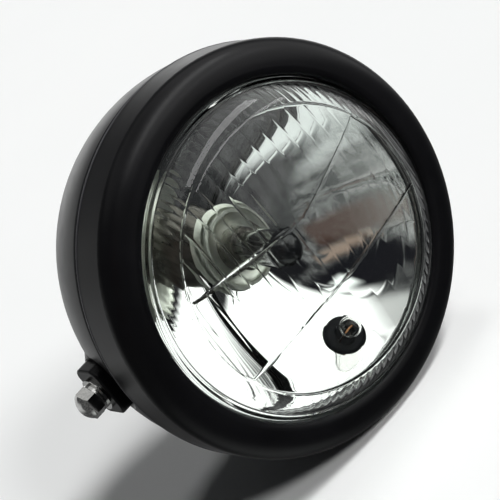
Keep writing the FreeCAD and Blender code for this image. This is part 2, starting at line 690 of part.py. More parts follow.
def make_bulb_cap():
    start = bulb_y - BULB_SLEEVE_LENGTH
    inner = BULB_GLASS_RADIUS + BULB_GAP
    points = [
        at(inner, start),
        at(sleeve_radius, start),
        at(sleeve_radius, bulb_back_y),
        at(BULB_CAN_RADIUS, bulb_back_y),
        at(BULB_CAN_RADIUS, can_end_y),
        at(0, can_end_y),
        at(0, floor_y),
        at(inner, floor_y),
    ]
    return spin(polygon(points))


def dome_tube(radius, wall, tip, base):
    """A glass tube, closed by a round tip in front and open at its base."""
    inner = radius - wall
    bend = tip + radius
    outline = [
        quarter(at(0, tip), at(radius, tip), at(radius, bend)),
        line(at(radius, bend), at(radius, base)),
        line(at(radius, base), at(inner, base)),
        line(at(inner, base), at(inner, bend)),
        quarter(at(inner, bend), at(inner, tip + wall), at(0, tip + wall)),
        line(at(0, tip + wall), at(0, tip)),
    ]
    return spin(outline)


def make_bulb_glass():
    return dome_tube(BULB_GLASS_RADIUS, BULB_GLASS_WALL, bulb_y - BULB_REACH, floor_y)


def make_filament(front):
    start = bulb_y - front
    return Part.makeCylinder(FILAMENT_RADIUS, FILAMENT_LENGTH, at(0, start), ALONG_Y)


def make_bulb_supports():
    high = bulb_y - HIGH_BEAM_FRONT
    low = bulb_y - LOW_BEAM_FRONT
    ends = [
        (180, low - LEG_RADIUS),
        (0, low + FILAMENT_LENGTH + LEG_RADIUS),
        (270, high - LEG_RADIUS),
        (120, high + FILAMENT_LENGTH + LEG_RADIUS),
    ]
    wires = []
    for angle, end in ends:
        post = rod(POST_RADIUS, at(POST_CIRCLE, floor_y), at(POST_CIRCLE, end - POST_RADIUS))
        leg = rod(LEG_RADIUS, at(0, end), at(POST_CIRCLE, end))
        wires.append(turned(post.fuse(leg), angle))
    return Part.makeCompound(wires)


def make_bulb_shield():
    front = bulb_y - LOW_BEAM_FRONT - SHIELD_MARGIN
    back = bulb_y - LOW_BEAM_FRONT + FILAMENT_LENGTH + SHIELD_MARGIN
    inner = SHIELD_RADIUS - SHIELD_SHEET
    points = [
        at(FILAMENT_RADIUS, front),
        at(SHIELD_RADIUS, front),
        at(SHIELD_RADIUS, back),
        at(inner, back),
        at(inner, front + SHIELD_SHEET),
        at(FILAMENT_RADIUS, front + SHIELD_SHEET),
    ]
    return turned(spin(polygon(points), SHIELD_SPAN), -90)


def make_bulb_insulator():
    disc = Part.makeCylinder(INSULATOR_RADIUS, INSULATOR_LENGTH, at(0, can_end_y), ALONG_Y)
    return disc.cut([terminal_bar(angle, BULB_GAP) for angle in (90, 0, 180)])


def terminal_bar(angle, gap):
    """One flat blade, crosswise to its own direction from the axis."""
    half = FreeCAD.Vector(TERMINAL_THICKNESS / 2 + gap, 0, TERMINAL_WIDTH / 2 + gap)
    low = at(TERMINAL_OFFSET, can_end_y) - half
    high = at(TERMINAL_OFFSET, insulator_y + TERMINAL_LENGTH) + half
    return turned(box(low, high), angle)


def make_bulb_clip():
    start = FreeCAD.Vector(clip_leg_x, clip_y, -clip_leg_drop)
    bend = FreeCAD.Vector(clip_leg_x, clip_y, CLIP_ARCH_RISE)
    top = FreeCAD.Vector(0, clip_y, arch_top())
    other_bend = FreeCAD.Vector(-clip_leg_x, clip_y, CLIP_ARCH_RISE)
    end = FreeCAD.Vector(-clip_leg_x, clip_y, -clip_leg_drop)
    path = Part.Wire([line(start, bend), Part.Arc(bend, top, other_bend).toShape(), line(other_bend, end)])
    section = Part.Wire([Part.makeCircle(CLIP_WIRE_RADIUS, start, ALONG_Z)])
    return path.makePipeShell([section], True, False)


def make_bulb_boot():
    groove = neck_radius + BOOT_FIT
    outer = groove + BOOT_WALL
    lip = neck_radius - BOOT_WALL
    front = bulb_y - REFLECTOR_SHEET - BOOT_FIT
    room = neck_radius - BOOT_FIT
    room_y = bulb_y + BOOT_ROOM
    grip = BULB_CAN_RADIUS + BOOT_FIT
    slope_y = room_y + BOOT_SLOPE
    collar = grip + BOOT_WALL
    back_y = slope_y + BOOT_WALL
    end = slope_y + BOOT_GRIP
    outline = [
        line(at(lip, front), at(lip, front - BOOT_SKIRT)),
        line(at(lip, front - BOOT_SKIRT), at(outer, front - BOOT_SKIRT)),
        line(at(outer, front - BOOT_SKIRT), at(outer, room_y)),
        quarter(at(outer, room_y), at(outer, back_y), at(collar, back_y)),
        line(at(collar, back_y), at(collar, end)),
        line(at(collar, end), at(grip, end)),
        line(at(grip, end), at(grip, slope_y)),
        quarter(at(grip, slope_y), at(room, slope_y), at(room, room_y)),
        line(at(room, room_y), at(room, bulb_y + BOOT_FIT)),
        line(at(room, bulb_y + BOOT_FIT), at(groove, bulb_y + BOOT_FIT)),
        line(at(groove, bulb_y + BOOT_FIT), at(groove, front)),
        line(at(groove, front), at(lip, front)),
    ]
    return spin(outline)


def in_parking_place(solid):
    """Move a piece, drawn about the lamp's axis with the mirror face at y = 0, low into the bowl."""
    placed = solid.copy()
    placed.rotate(ORIGIN, ALONG_X, -PARKING_TILT)
    placed.translate(FreeCAD.Vector(0, parking_y, -parking_radius))
    placed.rotate(ORIGIN, ALONG_Y, -PARKING_TURN)
    return placed


def make_parking_socket():
    body = PARKING_BORE - PARKING_FIT
    flange = PARKING_BORE + PARKING_FLANGE
    seat = PARKING_BULB_SEAT - PARKING_FACE
    recess = PARKING_BULB_RADIUS + PARKING_FIT
    back = PARKING_COLLAR_LENGTH + PARKING_FLANGE_THICKNESS
    brim = body - PARKING_FACE
    outline = [
        line(at(recess, -PARKING_FACE), at(brim, -PARKING_FACE)),
        quarter(at(brim, -PARKING_FACE), at(body, -PARKING_FACE), at(body, 0)),
        line(at(body, 0), at(body, PARKING_COLLAR_LENGTH)),
        line(at(body, PARKING_COLLAR_LENGTH), at(flange, PARKING_COLLAR_LENGTH)),
        line(at(flange, PARKING_COLLAR_LENGTH), at(flange, back)),
        line(at(flange, back), at(0, back)),
        line(at(0, back), at(0, seat)),
        line(at(0, seat), at(recess, seat)),
        line(at(recess, seat), at(recess, -PARKING_FACE)),
    ]
    return in_parking_place(spin(outline))


def make_parking_bulb():
    tip = -PARKING_FACE - PARKING_BULB_REACH
    return in_parking_place(
        dome_tube(PARKING_BULB_RADIUS, PARKING_BULB_WALL, tip, PARKING_BULB_SEAT - PARKING_FACE)
    )


def make_parking_filament():
    seat = PARKING_BULB_SEAT - PARKING_FACE
    top = seat - PARKING_POST_HEIGHT
    half = PARKING_COIL_LENGTH / 2
    coil = rod(PARKING_COIL_RADIUS, FreeCAD.Vector(-half, top, 0), FreeCAD.Vector(half, top, 0))
    posts = [rod(PARKING_POST_RADIUS, at(x, seat), at(x, top)) for x in (-half, half)]
    return in_parking_place(coil.fuse(posts))


def make_parking_terminals():
    back = PARKING_COLLAR_LENGTH + PARKING_FLANGE_THICKNESS
    blades = []
    for x in (-PARKING_TERMINAL_OFFSET, PARKING_TERMINAL_OFFSET):
        half = FreeCAD.Vector(PARKING_TERMINAL_THICKNESS / 2, 0, PARKING_TERMINAL_WIDTH / 2)
        blade = box(at(x, back) - half, at(x, back + PARKING_TERMINAL_LENGTH) + half)
        blades.append(in_parking_place(blade))
    return Part.makeCompound(blades)


def make_harness_grommet():
    groove = harness_hole - GROMMET_FIT
    lip = harness_hole + GROMMET_LIP
    out_seat = rear_y + GROMMET_FIT
    in_seat = rear_y - BUCKET_SHEET - GROMMET_FIT
    out_end = out_seat + GROMMET_FLANGE
    in_end = in_seat - GROMMET_FLANGE
    bore = HARNESS_BORE_RADIUS
    outline = [
        line(at(bore, in_end), at(groove, in_end)),
        quarter(at(groove, in_end), at(lip, in_end), at(lip, in_seat)),
        line(at(lip, in_seat), at(groove, in_seat)),
        line(at(groove, in_seat), at(groove, out_seat)),
        line(at(groove, out_seat), at(lip, out_seat)),
        quarter(at(lip, out_seat), at(lip, out_end), at(groove, out_end)),
        line(at(groove, out_end), at(bore, out_end)),
        line(at(bore, out_end), at(bore, in_end)),
    ]
    return spin(outline)


pieces = {
    "rim": make_rim(),
    "bucket": make_bucket(),
    "lens": make_lens(),
    "lens_seal": make_lens_seal(),
    "reflector": make_reflector(),
    "rim_hook": make_rim_hook(),
    "rim_screw": make_rim_screw(),
    "rim_nut": make_rim_nut(),
    "bulb_flange": make_bulb_flange(),
    "bulb_cap": make_bulb_cap(),
    "bulb_glass": make_bulb_glass(),
    "high_beam_filament": make_filament(HIGH_BEAM_FRONT),
    "low_beam_filament": make_filament(LOW_BEAM_FRONT),
    "bulb_supports": make_bulb_supports(),
    "bulb_shield": make_bulb_shield(),
    "bulb_insulator": make_bulb_insulator(),
    "bulb_clip": make_bulb_clip(),
    "bulb_boot": make_bulb_boot(),
    "parking_socket": make_parking_socket(),
    "parking_bulb": make_parking_bulb(),
    "parking_filament": make_parking_filament(),
    "parking_terminals": make_parking_terminals(),
    "harness_grommet": make_harness_grommet(),
}

for number in range(CLIP_COUNT):
    pieces[f"unit_clip_{number + 1}"] = turned(make_clip(), (number + 0.5) * 360 / CLIP_COUNT)

for name, angle in (("top", 90), ("right", 0), ("left", 180)):
    pieces[f"bulb_terminal_{name}"] = terminal_bar(angle, 0)

for name, side in (("right", 1), ("left", -1)):
    pieces[f"mount_pad_{name}"] = on_side(make_pad(), side)
    pieces[f"flat_washer_{name}"] = on_side(make_flat_washer(), side)
    pieces[f"spring_washer_{name}"] = on_side(make_spring_washer(), side)
    pieces[f"mount_bolt_{name}"] = on_side(make_bolt(), side)
    pieces[f"weld_nut_{name}"] = on_side(make_weld_nut(), side)

os.makedirs("parts", exist_ok=True)
for name, solid in pieces.items():
    solid.exportStep(os.path.join("parts", name + ".step"))
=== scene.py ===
import math

import bmesh
import bpy
from mathutils import Matrix, Vector


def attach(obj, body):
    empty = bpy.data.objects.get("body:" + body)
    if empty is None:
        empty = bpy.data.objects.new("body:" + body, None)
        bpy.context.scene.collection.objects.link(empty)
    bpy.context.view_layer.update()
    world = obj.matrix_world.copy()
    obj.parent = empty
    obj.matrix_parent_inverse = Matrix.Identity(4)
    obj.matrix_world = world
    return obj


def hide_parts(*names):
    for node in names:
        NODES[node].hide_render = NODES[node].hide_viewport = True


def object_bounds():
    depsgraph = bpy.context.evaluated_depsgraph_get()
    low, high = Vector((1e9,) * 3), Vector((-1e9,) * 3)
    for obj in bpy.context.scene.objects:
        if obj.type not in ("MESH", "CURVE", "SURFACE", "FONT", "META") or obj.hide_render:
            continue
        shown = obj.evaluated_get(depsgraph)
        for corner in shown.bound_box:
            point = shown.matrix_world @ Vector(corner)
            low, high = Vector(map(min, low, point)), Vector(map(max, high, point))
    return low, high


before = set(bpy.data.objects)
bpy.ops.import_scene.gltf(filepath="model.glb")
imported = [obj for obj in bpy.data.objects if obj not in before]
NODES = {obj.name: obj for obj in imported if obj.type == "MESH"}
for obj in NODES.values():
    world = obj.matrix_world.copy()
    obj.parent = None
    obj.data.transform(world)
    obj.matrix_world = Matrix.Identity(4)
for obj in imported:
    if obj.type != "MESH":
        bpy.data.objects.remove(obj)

CAD_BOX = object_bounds()
MM = 0.001

# Sizes of the solids that the finer pieces follow, in millimetres; y is the lamp's axis, -y its front
APERTURE_RADIUS = 76.2
LIP_END_Y = -45.7
LENS_CLEARANCE = 0.8
LENS_GLASS = 3.8
LENS_FLANGE_OVERLAP = 5.3
LENS_FLANGE_DEPTH = 4.0
LENS_WALL_DEPTH = 2.3
LENS_EDGE_ROUND = 24.0
LENS_EDGE_SLOPE = math.radians(71.0)
LENS_DOME_RADIUS = 290.0
LENS_FILLET = 0.6
LENS_CHAMFER = 0.5
LENS_WALL_RADIUS = APERTURE_RADIUS - LENS_CLEARANCE
LENS_INNER_RADIUS = LENS_WALL_RADIUS - LENS_GLASS
LENS_FLANGE_RADIUS = APERTURE_RADIUS + LENS_FLANGE_OVERLAP
LENS_BACK_Y = LIP_END_Y + LENS_FLANGE_DEPTH
LENS_WALL_Y = LIP_END_Y - LENS_WALL_DEPTH
ROUND_RADIUS = LENS_WALL_RADIUS - LENS_EDGE_ROUND * math.sin(LENS_EDGE_SLOPE)
ROUND_Y = LENS_WALL_Y + LENS_EDGE_ROUND * math.cos(LENS_EDGE_SLOPE)
DOME_Y = ROUND_Y + math.sqrt((LENS_DOME_RADIUS - LENS_EDGE_ROUND) ** 2 - ROUND_RADIUS**2)
EDGE_ANGLE = math.atan2(ROUND_RADIUS, DOME_Y - ROUND_Y)
INNER_ROUND = LENS_EDGE_ROUND - LENS_GLASS
INNER_DOME = LENS_DOME_RADIUS - LENS_GLASS
INNER_TANGENT = INNER_DOME * math.sin(EDGE_ANGLE)

RIM_SHOULDER = 16.8
RIM_STEP = 1.4
RIM_RADIUS = APERTURE_RADIUS + RIM_SHOULDER
BUCKET_RADIUS = RIM_RADIUS - RIM_STEP
SEAM_Y = -22.4

SEAL_DEPTH = 0.8
REFLECTOR_SHEET = 0.8
REFLECTOR_BACK = 1.25 * REFLECTOR_SHEET
REFLECTOR_EDGE_GAP = 0.5
REFLECTOR_EDGE_HEIGHT = 3.6
REFLECTOR_EDGE_ROUND = 0.3
FOCAL_LENGTH = 30.0
BULB_HOLE_RADIUS = 19.5
NECK_DEPTH = 4.0
NECK_FLANGE = 7.5
FLANGE_Y = LENS_BACK_Y + SEAL_DEPTH
VERTEX_Y = FLANGE_Y + LENS_INNER_RADIUS**2 / (4 * FOCAL_LENGTH)
BULB_Y = VERTEX_Y - BULB_HOLE_RADIUS**2 / (4 * FOCAL_LENGTH) + NECK_DEPTH

PARKING_RADIUS = 58.0
PARKING_BORE = 9.6
PARKING_COLLAR = 8.0
PARKING_TURN = math.radians(4.0)
PARKING_TILT = math.radians(30.0)

BULB_REACH = 51.0
BULB_COAT_START = 7.6
BULB_COAT_END = 8.6
FILAMENT_RADIUS = 0.75
FILAMENT_LENGTH = 5.0
HIGH_BEAM_FRONT = 24.0
LOW_BEAM_FRONT = 32.0


# Node trees: the parts of the noise over which colour and roughness change, and other shared values
RAMP_START = 0.35
RAMP_END = 0.65
ROUGH_START = 0.3
ROUGH_END = 0.7
BUMP_DISTANCE = 0.0002
GLASS_IOR = 1.5


class Nodes:
    """A node tree under construction."""

    def __init__(self, tree):
        self.tree = tree

    def add(self, kind, **values):
        """A node with the values of its sockets by name."""
        node = self.tree.nodes.new(kind)
        for name, value in values.items():
            node.inputs[name.replace("_", " ")].default_value = value
        return node

    def join(self, source, target):
        self.tree.links.new(source, target)

    def cloud(self, place, scale, detail):
        node = self.add("ShaderNodeTexNoise", Scale=scale, Detail=detail)
        self.join(place, node.inputs["Vector"])
        return node.outputs["Fac"]

    def ramp(self, source, low, high):
        """A colour between two, as the source goes through its middle range."""
        node = self.add("ShaderNodeValToRGB")
        first, last = node.color_ramp.elements
        first.position = RAMP_START
        first.color = (*low, 1.0)
        last.position = RAMP_END
        last.color = (*high, 1.0)
        self.join(source, node.inputs["Fac"])
        return node.outputs["Color"]

    def spread(self, source, start, end, low, high, shape="LINEAR"):
        """A value from low to high, as the source goes from start to end."""
        node = self.add("ShaderNodeMapRange", From_Min=start, From_Max=end, To_Min=low, To_Max=high)
        node.interpolation_type = shape
        self.join(source, node.inputs["Value"])
        return node.outputs["Result"]

    def mix(self, share, first, second):
        node = self.add("ShaderNodeMixShader")
        self.join(share, node.inputs["Fac"])
        self.join(first, node.inputs[1])
        self.join(second, node.inputs[2])
        return node.outputs["Shader"]


# Materials
class Looks(Nodes):
    """A material whose colour, roughness and bump follow noise."""

    def __init__(self, name):
        self.material = bpy.data.materials.new(name)
        self.material.use_nodes = True
        super().__init__(self.material.node_tree)
        self.shader = self.tree.nodes["Principled BSDF"]
        self.place = self.add("ShaderNodeTexCoord").outputs["Object"]

    def set(self, **values):
        for name, value in values.items():
            self.shader.inputs[name.replace("_", " ")].default_value = value

    def noise(self, scale, detail=3.0):
        return self.cloud(self.place, scale, detail)

    def colour(self, source, low, high):
        self.join(self.ramp(source, low, high), self.shader.inputs["Base Color"])

    def roughness(self, source, low, high):
        result = self.spread(source, ROUGH_START, ROUGH_END, low, high)
        self.join(result, self.shader.inputs["Roughness"])

    def bump(self, source, strength):
        node = self.add("ShaderNodeBump", Strength=strength, Distance=BUMP_DISTANCE)
        self.join(source, node.inputs["Height"])
        self.join(node.outputs["Normal"], self.shader.inputs["Normal"])

    def clear_to_shadows(self, tint):
        """The surface, but clear to light that goes straight to a lamp."""
        path = self.add("ShaderNodeLightPath")
        clear = self.add("ShaderNodeBsdfTransparent", Color=(*tint, 1.0))
        return self.mix(path.outputs["Is Shadow Ray"], self.shader.outputs["BSDF"], clear.outputs["BSDF"])

    def show(self, surface):
        self.join(surface, self.tree.nodes["Material Output"].inputs["Surface"])


def make_matte_black(name, shine, highlight_lift=1.0):
    """Fine-grained black paint; a highlight lift above one makes the whole copy paler, which paints a
    highlight on the piece it is given to.
    """
    looks = Looks(name)
    low = [highlight_lift * part for part in (0.0022, 0.0022, 0.0026)]
    high = [highlight_lift * part for part in (0.0032, 0.0032, 0.0038)]
    looks.colour(looks.noise(scale=35.0), low, high)
    looks.roughness(looks.noise(scale=140.0), 0.29, 0.33)
    looks.set(Specular_IOR_Level=shine)
    looks.bump(looks.noise(scale=2600.0, detail=2.0), 0.06)
    return looks.material


def make_metal(name, low, high, rough, scale=300.0):
    looks = Looks(name)
    grain = looks.noise(scale, detail=4.0)
    looks.colour(grain, low, high)
    looks.roughness(grain, *rough)
    looks.set(Metallic=1.0)
    return looks.material


def make_glass(name, low, high, rough_high, tint):
    looks = Looks(name)
    cloud = looks.noise(scale=25.0)
    looks.colour(cloud, low, high)
    looks.roughness(cloud, 0.0, rough_high)
    looks.set(Transmission_Weight=1.0, IOR=GLASS_IOR, Specular_Tint=(0.35, 0.35, 0.35, 1.0))
    looks.show(looks.clear_to_shadows(tint))
    return looks.material


def make_dull(name, low, high, rough, bump=0.15, scale=500.0, shine=0.2):
    looks = Looks(name)
    grain = looks.noise(scale, detail=4.0)
    looks.colour(grain, low, high)
    looks.roughness(grain, *rough)
    looks.set(Specular_IOR_Level=shine)
    looks.bump(grain, bump)
    return looks.material


def make_tipped_glass(name):
    """Clear bulb glass whose front end is coated black."""
    looks = Looks(name)
    cloud = looks.noise(scale=60.0)
    looks.colour(cloud, (0.97, 0.98, 0.97), (0.99, 1.0, 0.99))
    looks.roughness(cloud, 0.0, 0.02)
    looks.set(Transmission_Weight=1.0, IOR=GLASS_IOR)
    glass = looks.clear_to_shadows((0.94, 0.95, 0.94))
    parts = looks.add("ShaderNodeSeparateXYZ")
    looks.join(looks.place, parts.inputs["Vector"])
    tip = BULB_Y - BULB_REACH
    coated = looks.spread(
        parts.outputs["Y"], (tip + BULB_COAT_END) * MM, (tip + BULB_COAT_START) * MM, 0.0, 1.0
    )
    coat = looks.add("ShaderNodeBsdfPrincipled", Base_Color=(0.006, 0.006, 0.007, 1.0), Roughness=0.18)
    looks.show(looks.mix(coated, glass, coat.outputs["BSDF"]))
    return looks.material


LOOKS = {
    "matte_black": make_matte_black("matte_black_paint", shine=0.12),
    # a paler, glossier copy of the black paint: a painted highlight line on the rim's rear edge
    "worn_edge": make_matte_black("matte_black_worn", shine=0.8, highlight_lift=8.0),
    "lens_glass": make_glass(
        "lens_glass_clear",
        low=(0.955, 0.985, 0.965),
        high=(0.97, 0.995, 0.98),
        rough_high=0.004,
        tint=(0.9, 0.93, 0.91),
    ),
    "mirror_coat": make_metal(
        "mirror_coat_bright",
        low=(0.90, 0.905, 0.90),
        high=(0.93, 0.93, 0.925),
        rough=(0.012, 0.03),
        scale=60.0,
    ),
    "sealant": make_dull(
        "sealant_grey",
        low=(0.06, 0.06, 0.06),
        high=(0.09, 0.09, 0.09),
        rough=(0.5, 0.7),
    ),
    "plated_steel": make_metal(
        "plated_steel_dull",
        low=(0.50, 0.49, 0.45),
        high=(0.62, 0.61, 0.56),
        rough=(0.22, 0.34),
    ),
    "bolt_chrome": make_metal(
        "bolt_chrome_bright",
        low=(0.40, 0.40, 0.39),
        high=(0.48, 0.48, 0.47),
        rough=(0.07, 0.13),
        scale=700.0,
    ),
    "bulb_glass": make_tipped_glass("bulb_glass_tipped"),
    "bulb_steel": make_metal(
        "bulb_steel_dark",
        low=(0.10, 0.095, 0.085),
        high=(0.16, 0.15, 0.135),
        rough=(0.25, 0.38),
    ),
    "bulb_ring": make_metal(
        "bulb_ring_pale",
        low=(0.66, 0.69, 0.61),
        high=(0.74, 0.76, 0.69),
        rough=(0.34, 0.44),
    ),
    "parking_glass": make_glass(
        "parking_glass_smoky",
        low=(0.965, 0.965, 0.95),
        high=(0.985, 0.985, 0.97),
        rough_high=0.02,
        tint=(0.95, 0.95, 0.93),
    ),
    "parking_copper": make_metal(
        "parking_copper_dark",
        low=(0.30, 0.14, 0.07),
        high=(0.45, 0.24, 0.12),
        rough=(0.25, 0.4),
        scale=900.0,
    ),
    "tungsten": make_metal(
        "tungsten_grey",
        low=(0.20, 0.19, 0.18),
        high=(0.32, 0.31, 0.29),
        rough=(0.3, 0.5),
        scale=2500.0,
    ),
    "insulator": make_dull(
        "insulator_brown",
        low=(0.05, 0.035, 0.025),
        high=(0.08, 0.055, 0.04),
        rough=(0.4, 0.55),
    ),
    "blade_brass": make_metal(
        "blade_brass_plain",
        low=(0.62, 0.47, 0.22),
        high=(0.74, 0.57, 0.28),
        rough=(0.2, 0.32),
    ),
    "black_rubber": make_dull(
        "black_rubber_plain",
        low=(0.004, 0.004, 0.005),
        high=(0.008, 0.008, 0.009),
        rough=(0.5, 0.66),
        bump=0.25,
        scale=900.0,
        shine=0.06,
    ),
}

# Solids that look unlike the rest of their slot
OWN_LOOKS = {
    "parking_bulb": "parking_glass",
    "parking_filament": "parking_copper",
    "bulb_cap": "bulb_steel",
    "bulb_flange": "bulb_ring",
}

for solid in NODES.values():
    given = solid.data.materials[0].name if solid.data.materials and solid.data.materials[0] else ""
    for slot_name, material in LOOKS.items():
        if slot_name == given or given.startswith(slot_name + "."):
            solid.data.materials[0] = material
for node_name, look in OWN_LOOKS.items():
    NODES[node_name].data.materials[0] = LOOKS[look]


# Mesh helpers
def make_piece(name, points, faces, slot, material=None, sharp=None):
    """A piece on the lamp's body from points in millimetres; edges past the sharp angle stay sharp."""
    mesh = bpy.data.meshes.new(name)
    mesh.from_pydata([(x * MM, y * MM, z * MM) for x, y, z in points], [], faces)
    mesh.validate()
    shape = bmesh.new()
    shape.from_mesh(mesh)
    bmesh.ops.recalc_face_normals(shape, faces=shape.faces)
    shape.to_mesh(mesh)
    shape.free()
    mesh.materials.append(material or LOOKS[slot])
    mesh.shade_smooth()
    if sharp:
        mesh.set_sharp_from_angle(angle=math.radians(sharp))
    piece = bpy.data.objects.new(name, mesh)
    bpy.context.scene.collection.objects.link(piece)
    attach(piece, "root")
    return piece


def revolve(profile, turn):
    """Rings of points about the lamp's axis, one for each radius and y of a profile."""
    points = []
    for radius, y in profile:
        for column in range(turn):
            a = 2 * math.pi * column / turn
            points.append((radius * math.cos(a), y, radius * math.sin(a)))
    return points


def joined(first, second):
    """Quads between two closed rings of point numbers."""
    count = len(first)
    return [(first[i], first[(i + 1) % count], second[(i + 1) % count], second[i]) for i in range(count)]


def tube_faces(first, rows, columns, closed=False):
    """Quads of rings that follow each other; where closed, the last ring also meets the first."""
    rings = [range(first + row * columns, first + (row + 1) * columns) for row in range(rows)]
    pairs = list(zip(rings, rings[1:]))
    if closed:
        pairs.append((rings[-1], rings[0]))
    return [face for pair in pairs for face in joined(*pair)]


# Lens: smooth dome outside, upright flutes, zone lines and a ring line inside
DOME_STEPS = 10
COLUMN_STEP = 0.5
COLUMN_REACH = 56.0
COLUMN_MIN_GAP = 0.06
SIDE_START = 40.0
SIDE_STEP = math.radians(0.8)
FLUTE_PITCH = 8.0
FLUTE_DEPTH = 0.115
FLUTE_BEAD = 0.11
FLUTE_FADE = 0.8
UPPER_SHIFT = 0.5
MIDDLE_SHIFT = 2.5
LOWER_SHIFT = -1.0
LOWER_PITCH = 9.5
LOWER_DEPTH = 0.04
ZONE_STEPS = 24
ZONE_LINE_STEPS = 3
ZONE_LINE_HALF = 0.2
ZONE_LINE_RISE = 0.12
ZONE_MIN_GAP = 0.9
RING_RADIUS = 62.4
RING_HALF = 0.4
RING_FLAT_HALF = 0.14
RING_RISE = 0.26
RING_INNER = RING_RADIUS - RING_HALF
BORDER_RADIUS = 70.6
BORDER_MARGIN = 0.3
BORDER_STEPS = 24
BORDER_FLUTES = 104
BORDER_FLUTE_DEPTH = 0.035  # share of the flute's width
BORDER_LINE = ((0.5, 0.0), (0.35, 0.2), (0.2, 0.2), (0.05, 0.0))  # past the border's radius, and its height
WALL_SINK = 0.02

# Zone lines, as x and z of their ends and bends
UPPER_LINE = ((-58.5, 22.4), (4.0, 14.4), (55.9, 27.8))
LOWER_LINE = ((-60.0, -23.4), (60.0, -15.9))


def clamp(value, low, high):
    return max(low, min(high, value))


def along(line, x):
    """Height of a bent line at x, carried on past its ends."""
    for start, end in zip(line, line[1:]):
        if x <= end[0] or end is line[-1]:
            return start[1] + (end[1] - start[1]) * (x - start[0]) / (end[0] - start[0])


def groove(phase, depth, bead=0.0):
    """A round hollow in each unit of phase, with a sharp ridge between two of them."""
    t = phase % 1.0 - 0.5
    ridge = max(0.0, 1.0 - (0.5 - abs(t)) * FLUTE_PITCH / COLUMN_STEP)
    return depth * 4.0 * t * t + bead * ridge


def border_groove(x):
    """The border's flutes stand upright and grow narrow towards the sides."""
    turn = math.acos(clamp(x / BORDER_RADIUS, -1.0, 1.0))
    share = 2 * math.pi / BORDER_FLUTES
    return groove(turn / share, BORDER_FLUTE_DEPTH * BORDER_RADIUS * math.sin(turn) * share)


def inner_face(radius):
    """Place along the axis and slope of the lens's inner face, without flutes and lines."""
    if radius < INNER_TANGENT:
        slope = math.asin(radius / INNER_DOME)
        return DOME_Y - INNER_DOME * math.cos(slope), slope
    slope = math.asin((radius - ROUND_RADIUS) / INNER_ROUND)
    return ROUND_Y - INNER_ROUND * math.cos(slope), slope


def lens_columns():
    """Places across the lens, from its +x side to its -x side, where the columns of points stand."""
    steps = int(COLUMN_REACH / COLUMN_STEP)
    places = [step * COLUMN_STEP for step in range(-steps, steps + 1)]
    for flute in range(BORDER_FLUTES // 2):
        x = BORDER_RADIUS * math.cos(2 * math.pi * flute / BORDER_FLUTES)
        if abs(x) < COLUMN_REACH and min(abs(x - place) for place in places) > COLUMN_MIN_GAP:
            places.append(x)
    end = math.acos(COLUMN_REACH / RING_INNER)
    count = int(end / SIDE_STEP)
    for step in range(count):
        x = RING_INNER * math.cos(end * step / count)
        places += [x, -x]
    return sorted(places, reverse=True)


def outside_rings():
    """Radius and y of the rings outside, from the dome to the back of the flange."""
    rings = []
    for step in range(1, DOME_STEPS + 1):
        a = EDGE_ANGLE * step / DOME_STEPS
        rings.append((LENS_DOME_RADIUS * math.sin(a), DOME_Y - LENS_DOME_RADIUS * math.cos(a)))
    for step in range(1, DOME_STEPS + 1):
        a = EDGE_ANGLE + (LENS_EDGE_SLOPE - EDGE_ANGLE) * step / DOME_STEPS
        rings.append((ROUND_RADIUS + LENS_EDGE_ROUND * math.sin(a), ROUND_Y - LENS_EDGE_ROUND * math.cos(a)))
    return rings + [
        (LENS_WALL_RADIUS, LIP_END_Y - LENS_FILLET),
        (LENS_WALL_RADIUS + LENS_FILLET, LIP_END_Y),
        (LENS_FLANGE_RADIUS - LENS_CHAMFER, LIP_END_Y),
        (LENS_FLANGE_RADIUS, LIP_END_Y + LENS_CHAMFER),
        (LENS_FLANGE_RADIUS, LENS_BACK_Y - LENS_CHAMFER),
        (LENS_FLANGE_RADIUS - LENS_CHAMFER, LENS_BACK_Y),
        (LENS_INNER_RADIUS + LENS_CHAMFER, LENS_BACK_Y),
        (LENS_INNER_RADIUS, LENS_BACK_Y - LENS_CHAMFER),
    ]


def border_rings():
    """Radius, raised height and share of the flutes for each ring inside, as far as the ring line."""
    rings = [(LENS_INNER_RADIUS - WALL_SINK, 0.0, 0.0)]
    rings += [(BORDER_RADIUS + past, rise, 0.0) for past, rise in BORDER_LINE]
    first = BORDER_RADIUS - BORDER_MARGIN
    last = RING_RADIUS + RING_HALF + BORDER_MARGIN
    rings += [(first + (last - first) * step / BORDER_STEPS, 0.0, 1.0) for step in range(BORDER_STEPS + 1)]
    rings.append((RING_RADIUS + RING_HALF, 0.0, 0.0))
    rings += [(RING_RADIUS + side * RING_FLAT_HALF, RING_RISE, 0.0) for side in (1, -1)]
    return rings


def both_halves(upper):
    """The upper half of a ring from one side to the other, and back along the lower half."""
    return upper + [(x, -z) for x, z in reversed(upper[1:-1])]


def disc_ring(columns, radius, y):
    """A ring within the ring line, with the columns drawn in towards the middle."""
    scale = radius / RING_INNER
    upper = [(x * scale, math.sqrt(max(0.0, RING_INNER**2 - x**2)) * scale) for x in columns]
    return [(x, y, z) for x, z in both_halves(upper)]


def border_ring(columns, radius, y, slope=0.0, lift=None):
    """A ring past the ring line; a column keeps its x, but for those near the sides."""
    upper = []
    for x in columns:
        share = clamp((abs(x) - SIDE_START) / (COLUMN_REACH - SIDE_START), 0.0, 1.0)
        moved = x * (1.0 + share * (radius / RING_INNER - 1.0))
        upper.append((moved, math.sqrt(max(0.0, radius**2 - moved**2))))
    ring = []
    for x, z in both_halves(upper):
        rise = lift(x) if lift else 0.0
        scale = 1.0 - rise * math.sin(slope) / radius
        ring.append((x * scale, y + rise * math.cos(slope), z * scale))
    return ring


